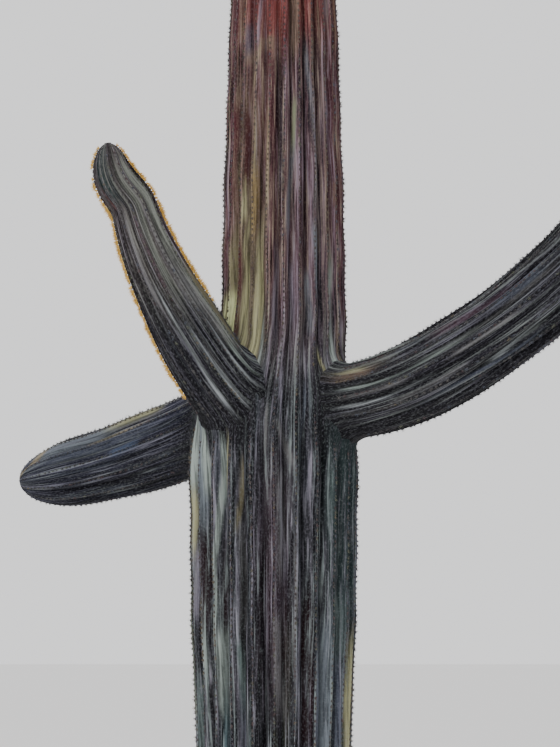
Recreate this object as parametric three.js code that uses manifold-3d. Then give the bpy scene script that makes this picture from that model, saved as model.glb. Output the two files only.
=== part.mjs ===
// A saguaro cactus rooted in level ground: one pleated trunk that is widest just under its arms, and three arms.
// Lengths are in millimetres and angles in degrees. +Z is up, and the origin is the centre of the flat cut under
// the trunk. The front of the plant faces -Y, so +X is on the right of someone who looks at it.
import * as THREE from "three";
import { mergeVertices } from "three/addons/utils/BufferGeometryUtils.js";
import Module from "manifold-3d";

// Driving dimensions
const TRUNK_HEIGHT = 5200;
const FOOT_RADIUS = 236; // over the root flare
const WAIST_RADIUS = 205; // the narrowest place above the foot
const SHOULDER_RADIUS = 252; // the widest place, just under the arms
const NECK_RADIUS = 191; // just above the arms
const TOP_RADIUS = 129; // where the dome at the tip begins

// How far a limb's smooth steps reach: a profile is a start value, and steps of [from, to, change]
const TRUNK_RADIUS = {
  start: FOOT_RADIUS,
  steps: [
    [0, 320, WAIST_RADIUS - FOOT_RADIUS],
    [500, 2100, SHOULDER_RADIUS - WAIST_RADIUS],
    [2200, 2560, NECK_RADIUS - SHOULDER_RADIUS],
    [2350, 5000, TOP_RADIUS - NECK_RADIUS],
  ],
};
const TRUNK_SWAY = {
  start: 0,
  steps: [
    [0, 1700, -7],
    [2200, 2650, 30],
  ],
};
const TRUNK_RIB_DEPTH = {
  start: 0.05, // shares of the radius; old bark fills the grooves at the foot
  steps: [
    [150, 1100, 0.09],
    [2300, 3200, 0.02],
  ],
};

const trunk = {
  ribs: 24,
  length: TRUNK_HEIGHT,
  dome: 280,
  radius: TRUNK_RADIUS,
  ribDepth: TRUNK_RIB_DEPTH,
  rings: 26,
  domeRings: 6,
};

const ARM_RIB_DEPTH = { start: 0.12, steps: [[150, 600, 0.05]] };
const ARM_DOME_RINGS = 5;

// An arm starts on the trunk's axis at rootHeight. Its heading turns from +X towards +Y, and its pitch is above level.
const leftArm = {
  ribs: 12,
  length: 1059,
  dome: 150,
  rootHeight: 2262,
  heading: { start: 228, steps: [[0, 900, -22]] },
  pitch: {
    start: 24.1,
    steps: [
      [0, 500, 30.8],
      [450, 1100, 27.1],
      [830, 900, -29], // the tip nods outwards, and then turns up again
      [900, 1020, 29.5],
    ],
  },
  radius: {
    start: 112,
    steps: [
      [250, 1100, -56],
      [830, 900, 2],
    ],
  },
  ribDepth: ARM_RIB_DEPTH,
  rings: 11,
  domeRings: ARM_DOME_RINGS,
};

const lowArm = {
  ribs: 13,
  length: 957,
  dome: 250,
  rootHeight: 2395,
  heading: { start: 146, steps: [[0, 900, 12]] },
  pitch: {
    start: -24.9,
    steps: [
      [0, 500, 10.2],
      [400, 1000, 8.5],
    ],
  },
  radius: { start: 126, steps: [[350, 1100, -30]] },
  ribDepth: ARM_RIB_DEPTH,
  rings: 8,
  domeRings: ARM_DOME_RINGS,
};

const rightArm = {
  ribs: 14,
  length: 2350,
  dome: 200,
  rootHeight: 2354,
  heading: { start: 336, steps: [[0, 1200, 18]] },
  pitch: {
    start: -5.4,
    steps: [
      [0, 600, 32.1],
      [350, 1550, 31.7],
      [1000, 1600, 28.6],
    ],
  },
  radius: {
    start: 112,
    steps: [
      [200, 500, 10],
      [600, 2200, -12],
    ],
  },
  ribDepth: ARM_RIB_DEPTH,
  rings: 20,
  domeRings: ARM_DOME_RINGS,
};
// The right arm bends round a wide gap, so it is three pieces, cut square to its own centre line.
const RIGHT_ARM_CUTS = [0, 720, 1350, rightArm.length];

const CROWN_FLAT = 12; // radius of the small flat at the top of each dome
const DOME_POWER = 2.4; // 2 is a round dome, and more is blunter
const CLEARANCE = 0.5; // between an arm and the trunk, and between two pieces of one arm
const PATH_STEP = 5; // for following an arm's centre line
const CREST_HALF_WIDTH = 0.17; // of a rib's width, from the middle of its crest to the edge of its flank

function valueAt({ start, steps }, station) {
  return steps.reduce(
    (sum, [from, to, change]) => sum + change * THREE.MathUtils.smoothstep(station, from, to),
    start,
  );
}

// The radius over the rib crests, which closes to a dome at the limb's end.
function radiusAt(limb, station) {
  const intoDome = THREE.MathUtils.clamp((station - limb.length + limb.dome) / limb.dome, 0, 1);
  const share = Math.sqrt(1 - intoDome ** DOME_POWER);
  return Math.max(CROWN_FLAT, valueAt(limb.radius, station) * share);
}

// Where a limb's rings stand along it: evenly on its body, and closer together on its dome.
function ringStations(limb) {
  const body = limb.length - limb.dome;
  const even = Array.from({ length: limb.rings }, (_, i) => (body * i) / limb.rings);
  const round = Array.from({ length: limb.domeRings + 1 }, (_, i) => {
    return body + limb.dome * Math.sin(((Math.PI / 2) * i) / limb.domeRings);
  });
  return [...even, ...round];
}

// The trunk's rings stay level, so that its foot is a level cut.
function trunkFrame(station) {
  return {
    centre: new THREE.Vector3(valueAt(TRUNK_SWAY, station), 0, station),
    across: new THREE.Vector3(1, 0, 0),
    over: new THREE.Vector3(0, 1, 0),
  };
}

function armDirection(arm, station) {
  const heading = THREE.MathUtils.degToRad(valueAt(arm.heading, station));
  const pitch = THREE.MathUtils.degToRad(valueAt(arm.pitch, station));
  return new THREE.Vector3(
    Math.cos(heading) * Math.cos(pitch),
    Math.sin(heading) * Math.cos(pitch),
    Math.sin(pitch),
  );
}

// A ring square to the arm's centre line, reached by walking along it in short steps.
function armFrame(arm, station) {
  const centre = new THREE.Vector3(0, 0, arm.rootHeight);
  const count = Math.ceil(station / PATH_STEP);
  const step = count ? station / count : 0;
  for (let i = 0; i < count; i += 1) {
    centre.addScaledVector(armDirection(arm, (i + 0.5) * step), step);
  }
  const along = armDirection(arm, station);
  const heading = THREE.MathUtils.degToRad(valueAt(arm.heading, station));
  const across = new THREE.Vector3(-Math.sin(heading), Math.cos(heading), 0);
  return { centre, across, over: along.clone().cross(across) };
}

// A pleated solid between stations, as a cylinder whose vertices are moved to the limb's rings and ribs.
function pleatedSolid(limb, frameAt, stations, grow = 0) {
  const ribSides = [-0.5, -CREST_HALF_WIDTH, CREST_HALF_WIDTH]; // a groove, then the two edges of a crest
  const sides = limb.ribs * ribSides.length;
  const geometry = new THREE.CylinderGeometry(1, 1, 1, sides, stations.length - 1);
  const frames = stations.map(frameAt);
  const position = geometry.getAttribute("position");
  const local = new THREE.Vector3();
  for (let i = 0; i < position.count; i += 1) {
    local.fromBufferAttribute(position, i);
    const ring = Math.round((local.y + 0.5) * (stations.length - 1));
    const { centre, across, over } = frames[ring];
    const point = centre.clone();
    if (Math.hypot(local.x, local.z) > 0.5) {
      const turn = (Math.atan2(local.x, local.z) / (2 * Math.PI)) * sides;
      const side = (Math.round(turn) + sides) % sides;
      const rib = Math.floor(side / ribSides.length);
      const place = ribSides[side % ribSides.length];
      const angle = ((rib + place) / limb.ribs) * 2 * Math.PI;
      const groove = place === ribSides[0] ? valueAt(limb.ribDepth, stations[ring]) : 0;
      const radius = radiusAt(limb, stations[ring]) * (1 - groove) + grow;
      point.addScaledVector(across, radius * Math.cos(angle));
      point.addScaledVector(over, radius * Math.sin(angle));
    }
    position.setXYZ(i, point.x, point.y, point.z);
  }
  return geometry;
}

const wasm = await Module();
wasm.setup();

function toManifold(geometry) {
  const bare = geometry.clone();
  bare.deleteAttribute("normal");
  bare.deleteAttribute("uv");
  const merged = mergeVertices(bare, 1e-3);
  return new wasm.Manifold(
    new wasm.Mesh({
      numProp: 3,
      vertProperties: new Float32Array(merged.attributes.position.array),
      triVerts: new Uint32Array(merged.index.array),
    }),
  );
}

function toGeometry(solid) {
  const { vertProperties, triVerts } = solid.getMesh();
  const geometry = new THREE.BufferGeometry();
  geometry.setAttribute("position", new THREE.BufferAttribute(vertProperties, 3));
  geometry.setIndex(new THREE.BufferAttribute(triVerts, 1));
  geometry.computeVertexNormals();
  return geometry;
}

const trunkStations = ringStations(trunk);
const trunkCutter = toManifold(pleatedSolid(trunk, trunkFrame, trunkStations, CLEARANCE));

// What is left of an arm outside the trunk, from one station to another.
function armGeometry(arm, from = 0, to = arm.length) {
  const gap = from > 0 ? CLEARANCE : 0;
  const inner = ringStations(arm).filter((station) => station > from && station < to);
  const stations = [from + gap, ...inner, to];
  const whole = toManifold(pleatedSolid(arm, (station) => armFrame(arm, station), stations));
  const pieces = whole.subtract(trunkCutter).decompose();
  pieces.sort((a, b) => b.volume() - a.volume());
  return toGeometry(pieces[0]);
}

// Materials, with the colours of the plant at dusk
const oldSkin = new THREE.MeshStandardMaterial({ color: 0x4a4a4c, roughness: 0.8, metalness: 0 });
const greySkin = new THREE.MeshStandardMaterial({ color: 0x565853, roughness: 0.7, metalness: 0 });
const darkSkin = new THREE.MeshStandardMaterial({ color: 0x3d3f44, roughness: 0.75, metalness: 0 });

function named(name, geometry, material) {
  const mesh = new THREE.Mesh(geometry, material);
  mesh.name = name;
  return mesh;
}

const RIGHT_ARM_NAMES = ["right_arm_reach", "right_arm_elbow", "right_arm_upright"];

const saguaro = new THREE.Group();
saguaro.add(
  named("trunk", pleatedSolid(trunk, trunkFrame, trunkStations), oldSkin),
  named("left_arm", armGeometry(leftArm), greySkin),
  named("low_arm", armGeometry(lowArm), darkSkin),
  ...RIGHT_ARM_NAMES.map((name, i) => {
    return named(name, armGeometry(rightArm, RIGHT_ARM_CUTS[i], RIGHT_ARM_CUTS[i + 1]), darkSkin);
  }),
);

export default saguaro;
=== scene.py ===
# A saguaro cactus: one ribbed trunk and three arms, with felt pads and sprays of spines along their ribs.
# Lengths are in metres and angles in degrees. +Z is up, the ground is at z = 0, and the front faces -Y.
import math

import bpy
import numpy as np
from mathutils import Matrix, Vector, noise


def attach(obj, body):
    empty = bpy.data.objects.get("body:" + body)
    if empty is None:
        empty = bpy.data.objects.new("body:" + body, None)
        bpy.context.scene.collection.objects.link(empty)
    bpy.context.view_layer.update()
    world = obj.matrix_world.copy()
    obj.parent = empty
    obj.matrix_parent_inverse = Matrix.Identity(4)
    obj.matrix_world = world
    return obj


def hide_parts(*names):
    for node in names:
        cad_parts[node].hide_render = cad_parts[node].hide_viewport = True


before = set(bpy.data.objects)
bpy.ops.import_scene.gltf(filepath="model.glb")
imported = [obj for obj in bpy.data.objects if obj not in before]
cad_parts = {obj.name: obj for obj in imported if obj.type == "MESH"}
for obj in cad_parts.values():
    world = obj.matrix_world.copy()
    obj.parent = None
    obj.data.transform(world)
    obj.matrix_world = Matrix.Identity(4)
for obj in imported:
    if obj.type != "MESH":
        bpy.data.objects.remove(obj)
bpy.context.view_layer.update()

TURN = 2.0 * math.pi


def add_object(name, data):
    added = bpy.data.objects.new(name, data)
    bpy.context.scene.collection.objects.link(added)
    return added


# The camera, 1.6 m above the ground and looking up a little
EYE = (0.012, -7.0, 1.6)
LOOKS_UP = 6.879
LENS_MM = 112.45
SENSOR_MM = 36.0
SEES_AS_FAR_AS = 900.0


def make_camera():
    data = bpy.data.cameras.new("camera")
    data.lens = LENS_MM
    data.sensor_width = SENSOR_MM
    data.clip_end = SEES_AS_FAR_AS
    camera = add_object("camera", data)
    camera.location = EYE
    camera.rotation_euler = (math.radians(90.0 + LOOKS_UP), 0.0, 0.0)
    bpy.context.scene.camera = camera


make_camera()


# Values along a stem: a start value, and smooth steps of (from, to, change)
def eased(s, begin, end):
    t = np.clip((s - begin) / (end - begin), 0.0, 1.0)
    return t * t * (3.0 - 2.0 * t)


def along(profile, s):
    start, steps = profile
    return start + sum(change * eased(s, begin, end) for begin, end, change in steps)


def waves(seed, count, s, shortest, longest, terms=3):
    """count smooth random curves along s, one to a column, each mostly between -1 and 1."""
    rng = np.random.default_rng(seed)
    length = rng.uniform(shortest, longest, (terms, count))
    phase = rng.uniform(0.0, TURN, (terms, count))
    return np.sin(TURN * s[:, None, None] / length + phase).sum(axis=1) / math.sqrt(terms)


# The stems
CLOSER_OVER_DOME = 1.35


class Stem:
    """A ribbed stem, made with ribs, length, dome, radius, rib_depth, ring_gap and a seed for chance.

    Along it run its warmth, from slate and charcoal at 0 to plum and brown at 1, and its age, from young
    growth at 0 to corky bark at 1.
    """

    begins = 0.0
    pinches = ()  # ribs that are born from a groove: (rib, where it is full grown)

    def __init__(self, name, **sizes):
        self.name = name
        self.nodes = (name,)  # of the CAD model, which its skin replaces
        vars(self).update(sizes)

    def stations(self):
        """Where the rings stand, closer together over the dome."""
        body_end = self.length - self.dome
        body = np.arange(self.begins, body_end, self.ring_gap)
        count = int(CLOSER_OVER_DOME * self.dome / self.ring_gap)
        turn = np.linspace(0.0, math.pi / 2.0, count + 1)
        return np.concatenate([body, body_end + self.dome * np.sin(turn)])


class Trunk(Stem):
    sway = (0.0, ((0.0, 1.7, -0.007), (2.2, 2.65, 0.030)))
    warmth = (0.0, ((2.3, 2.8, 1.0),))
    age = (1.25, ((0.0, 1.4, -1.0), (0.8, 2.4, -0.25)))

    def frames(self, s):
        """The centre line at each station, and the directions across, over and ahead."""
        centre = np.stack([along(self.sway, s), np.zeros_like(s), s], axis=1)
        return centre, *[np.tile(axis, (len(s), 1)) for axis in np.eye(3)]


class Arm(Stem):
    begins = 0.14
    rib_depth = (0.13, ((0.2, 0.6, 0.05),))
    ring_gap = 0.010
    warmth = (0.0, ((0.4, 0.8, 0.0),))
    age = (0.15, ((0.25, 0.6, -0.15),))

    def aim(self, root_height, heading, pitch):
        """The arm starts on the trunk's axis at root_height and is followed in short steps."""
        self.heading, self.pitch = heading, pitch
        step = 0.005
        edges = np.arange(0.0, self.length + step, step)
        moves = self.direction((edges[:-1] + edges[1:]) / 2.0) * step
        start = np.array([[0.0, 0.0, root_height]])
        self.path_s = edges
        self.path = np.concatenate([start, start + np.cumsum(moves, axis=0)])
        return self

    def direction(self, s):
        heading, pitch = np.radians(along(self.heading, s)), np.radians(along(self.pitch, s))
        level = np.cos(pitch)
        return np.stack([np.cos(heading) * level, np.sin(heading) * level, np.sin(pitch)], axis=-1)

    def frames(self, s):
        centre = np.stack([np.interp(s, self.path_s, self.path[:, i]) for i in range(3)], axis=1)
        ahead = self.direction(s)
        heading = np.radians(along(self.heading, s))
        across = np.stack([-np.sin(heading), np.cos(heading), np.zeros_like(s)], axis=1)
        return centre, across, np.cross(ahead, across), ahead


trunk = Trunk(
    "trunk", ribs=24, length=5.2, dome=0.28,
    radius=(0.236, ((0.0, 0.32, -0.031), (0.5, 2.1, 0.047), (2.2, 2.56, -0.061), (2.35, 5.0, -0.062))),
    rib_depth=(0.06, ((0.15, 1.1, 0.09), (2.3, 3.2, 0.02))),
    ring_gap=0.016, seed=11, pinches=((3, 1.5), (8, 0.9), (12, 1.25), (21, 0.75)),
)

left_arm = Arm(
    "left_arm", ribs=12, length=1.059, dome=0.15,
    radius=(0.112, ((0.25, 1.1, -0.056), (0.83, 0.9, 0.002))), seed=23, warmth=(0.0, ((0.4, 0.8, 0.25),)),
).aim(
    2.262, heading=(228.0, ((0.0, 0.9, -22.0),)),
    pitch=(24.1, ((0.0, 0.5, 30.8), (0.45, 1.1, 27.1), (0.83, 0.9, -29.0), (0.9, 1.02, 29.5))),
)
low_arm = Arm(
    "low_arm", ribs=13, length=0.957, dome=0.25,
    radius=(0.126, ((0.35, 1.1, -0.030),)), seed=37,
).aim(2.395, heading=(146.0, ((0.0, 0.9, 12.0),)), pitch=(-24.9, ((0.0, 0.5, 10.2), (0.4, 1.0, 8.5))))
right_arm = Arm(
    "right_arm", ribs=14, length=2.35, dome=0.2,
    radius=(0.112, ((0.2, 0.5, 0.010), (0.6, 2.2, -0.012))), seed=41, pinches=((9, 0.8),),
    nodes=("right_arm_reach", "right_arm_elbow", "right_arm_upright"),
).aim(
    2.354, heading=(336.0, ((0.0, 1.2, 18.0),)),
    pitch=(-5.4, ((0.0, 0.6, 32.1), (0.35, 1.55, 31.7), (1.0, 1.6, 28.6))),
)
ARMS = (left_arm, low_arm, right_arm)
STEMS = (trunk, *ARMS)

# The ribs' shape
ACROSS_A_RIB = np.array([-0.5, -0.44, -0.36, -0.27, -0.18, -0.09, 0.0, 0.09, 0.18, 0.27, 0.36, 0.44])
RIB_ROUNDNESS = 2.0  # 2 is a parabola, and less makes a sharper groove
GROOVE_WANDER = 0.09  # of a rib's width
WANDER_WAVES = (0.5, 1.9)
PINCHED_WIDTH = 0.36  # how much of its half width a rib gives up where it is born
BIRTH_LENGTH = 0.45
BIRTH_DEPTH = 0.72  # how far a new rib's crest starts down in its groove
DEPTH_VARIES = 0.12
DEPTH_WAVES = (0.3, 1.2)
SHALLOWER_TIP = 0.5
GROWTH_RINGS = 0.008  # of the radius
GROWTH_WAVES = (0.16, 0.45)
TIP_RADIUS = 0.010
TIP_RISE = 0.15  # of that radius
DOME_POWER = 2.4
CORK_HEIGHT = 0.95
CORK_FADE = 1.3
CORK_LUMPS = 0.007
LUMPS_ACROSS, LUMPS_ALONG = 26.0, 9.0  # to a metre
LUMP_FORM = (0.8, 2.1, 4)  # how fast finer layers of noise fade, how much finer each is, and how many
SPLITS_ACROSS, SPLITS_ALONG = 17.0, 3.5
SPLIT_NARROWNESS, SPLIT_DEPTH = 5.0, 1.1

# Where the arms join the trunk, both skins lose their ribs and swell towards the seam
JOINT_HEIGHT = 2.35
JOINT_SPAN = 0.45  # above and below it
NECK_INSIDE, NECK_OUTSIDE, NECK_STEP = 0.12, 0.25, 0.01  # the stretch of an arm that is near the trunk's skin
SEAM_SWELLING = 0.017
SEAM_REACH = 0.045
SEAM_SMOOTHING = 0.85
SMOOTHING_REACH = 0.14
# Painted shade: near each seam where an arm meets the trunk, the skin is darkened and an arm's streaks fade,
# as shade in the crease. The painted shade fades between the heights below, to the share given after them.
SEAM_FADES_STREAKS = 0.9
SEAM_CLEARS = (2.36, 2.48)  # the heights between which a seam's darkness fades
CLEAR_SEAM = 0.35  # what is left of it above


def pinch_of(stem, s):
    """How far each rib is pinched shut at each station, from 0 to 1."""
    shut = np.zeros((len(s), stem.ribs))
    for rib, grown in stem.pinches:
        shut[:, rib] = 1.0 - eased(s, grown - BIRTH_LENGTH, grown)
    return shut


def groove_places(stem, s, shut):
    """The place of each groove round the stem, in ribs. Groove k lies just before rib k."""
    k = np.arange(stem.ribs)
    places = k - 0.5 + GROOVE_WANDER * waves(stem.seed, stem.ribs, s, *WANDER_WAVES)
    places += PINCHED_WIDTH * shut
    places[:, (k + 1) % stem.ribs] -= PINCHED_WIDTH * shut
    return places


def leaves_trunk_at(arm):
    """The station at which the arm's centre line passes the trunk's skin."""
    away = np.hypot(arm.path[:, 0], arm.path[:, 1])
    return arm.path_s[np.argmax(away > along(trunk.radius, arm.path[:, 2]))]


def gap_to_trunk(points):
    """How far points lie outside the trunk, without its ribs."""
    z = points[..., 2]
    return np.hypot(points[..., 0] - along(trunk.sway, z), points[..., 1]) - along(trunk.radius, z)


def gap_to_arms(points):
    """How far points lie outside the nearest arm, without its ribs."""
    gap = np.ones(points.shape[:-1])
    close = np.abs(points[..., 2] - JOINT_HEIGHT) < JOINT_SPAN
    for arm in ARMS:
        leaves = leaves_trunk_at(arm)
        for s in np.arange(leaves - NECK_INSIDE, leaves + NECK_OUTSIDE, NECK_STEP):
            centre = arm.frames(np.array([s]))[0][0]
            apart = np.linalg.norm(points[close] - centre, axis=-1) - along(arm.radius, s)
            gap[close] = np.minimum(gap[close], apart)
    return gap


def surface(stem, s, ribs, t):
    """The skin at stations s (rows), at share t of each rib's width from its crest (columns).

    It gives the points, their angle round the stem, the way out from its centre line, and how close they are
    to a seam, from 0 to 1.
    """
    centre, across, over, _ = stem.frames(s)
    shut = pinch_of(stem, s)
    grooves = groove_places(stem, s, shut)
    before = grooves[:, ribs]
    after = grooves[:, (ribs + 1) % stem.ribs] + np.where(ribs == stem.ribs - 1, stem.ribs, 0)
    angle = (before + (t + 0.5) * (after - before)) * TURN / stem.ribs

    into_dome = np.clip((s - stem.length + stem.dome) / stem.dome, 0.0, 1.0)
    dome = np.sqrt(1.0 - into_dome**DOME_POWER)
    radius = along(stem.radius, s) * dome
    radius *= 1.0 + GROWTH_RINGS * waves(stem.seed + 1, 1, s, *GROWTH_WAVES)[:, 0]
    radius = np.maximum(radius, TIP_RADIUS)

    spread = across[:, None] * np.cos(angle)[..., None] + over[:, None] * np.sin(angle)[..., None]
    round_stem = centre[:, None] + radius[:, None, None] * spread
    gap = gap_to_arms(round_stem) if stem is trunk else gap_to_trunk(round_stem)
    swelling = SEAM_SWELLING * np.clip(1.0 - gap / SEAM_REACH, 0.0, 1.0) ** 2
    near_seam = 1.0 - eased(gap, 0.0, SMOOTHING_REACH)
    fall = np.abs(2.0 * t) ** RIB_ROUNDNESS  # 0 on the crest and 1 in the groove
    fall = fall + (1.0 - fall) * BIRTH_DEPTH * shut[:, ribs]
    uneven = 1.0 + DEPTH_VARIES * waves(stem.seed + 2, stem.ribs, s, *DEPTH_WAVES)[:, ribs]
    depth = along(stem.rib_depth, s)[:, None] * uneven * (1.0 - SHALLOWER_TIP * into_dome[:, None] ** 6)
    out = radius[:, None] * (1.0 - depth * (1.0 - SEAM_SMOOTHING * near_seam) * fall) + swelling
    points = centre[:, None] + out[..., None] * spread
    if stem is trunk:
        points += cork(points, s)[..., None] * spread
    return points, angle, spread, near_seam


def cork(points, s):
    """The foot's bark: lumps and lengthwise splits that fade out upwards."""
    lumps = np.zeros(points.shape[:-1])
    for i in np.flatnonzero(s < CORK_HEIGHT):
        fade = (1.0 - s[i] / CORK_HEIGHT) ** CORK_FADE
        for j, (x, y, z) in enumerate(points[i]):
            lump = Vector((x * LUMPS_ACROSS, y * LUMPS_ACROSS, z * LUMPS_ALONG))
            rough = noise.fractal(lump, *LUMP_FORM)
            split = Vector((x * SPLITS_ACROSS, y * SPLITS_ACROSS, z * SPLITS_ALONG))
            in_split = max(0.0, 1.0 - abs(noise.noise(split)) * SPLIT_NARROWNESS)
            lumps[i, j] = fade * CORK_LUMPS * (rough - SPLIT_DEPTH * in_split)
    return lumps


# Tints that run lengthwise along the ribs. Each is the colour that shows in this light, in steps of 1/255.
SHOWS_BRIGHTER = 0.55  # how much darker a thing is than it shows


def tint(red, green, blue):
    shares = np.array([red, green, blue]) / 255.0
    return SHOWS_BRIGHTER * np.where(shares <= 0.04045, shares / 12.92, ((shares + 0.055) / 1.055) ** 2.4)


MINT = tint(230, 236, 178)
FROST = tint(160, 172, 166)
STRAW = tint(166, 164, 126)
BUFF = tint(150, 138, 112)
OCHRE = tint(138, 120, 84)
TAN = tint(126, 108, 94)
OLIVE = tint(120, 114, 88)
SAGE = tint(126, 132, 108)
LICHEN = tint(120, 124, 117)
MOSS = tint(98, 98, 92)
TEAL_GREY = tint(112, 128, 126)
TEAL_BLUE = tint(90, 114, 122)
BLUE_GREY = tint(112, 120, 128)
MIST = tint(158, 164, 167)
SLATE = tint(84, 90, 104)
BLUE = tint(76, 90, 114)
DUSK = tint(44, 48, 70)
LILAC = tint(142, 136, 152)
ASH = tint(112, 112, 112)
BROWN = tint(134, 68, 62)
PLUM = tint(84, 60, 72)
MAROON = tint(72, 36, 42)
PINE = tint(38, 52, 52)
SOOT = tint(38, 22, 26)
NIGHT = tint(22, 21, 25)
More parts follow.
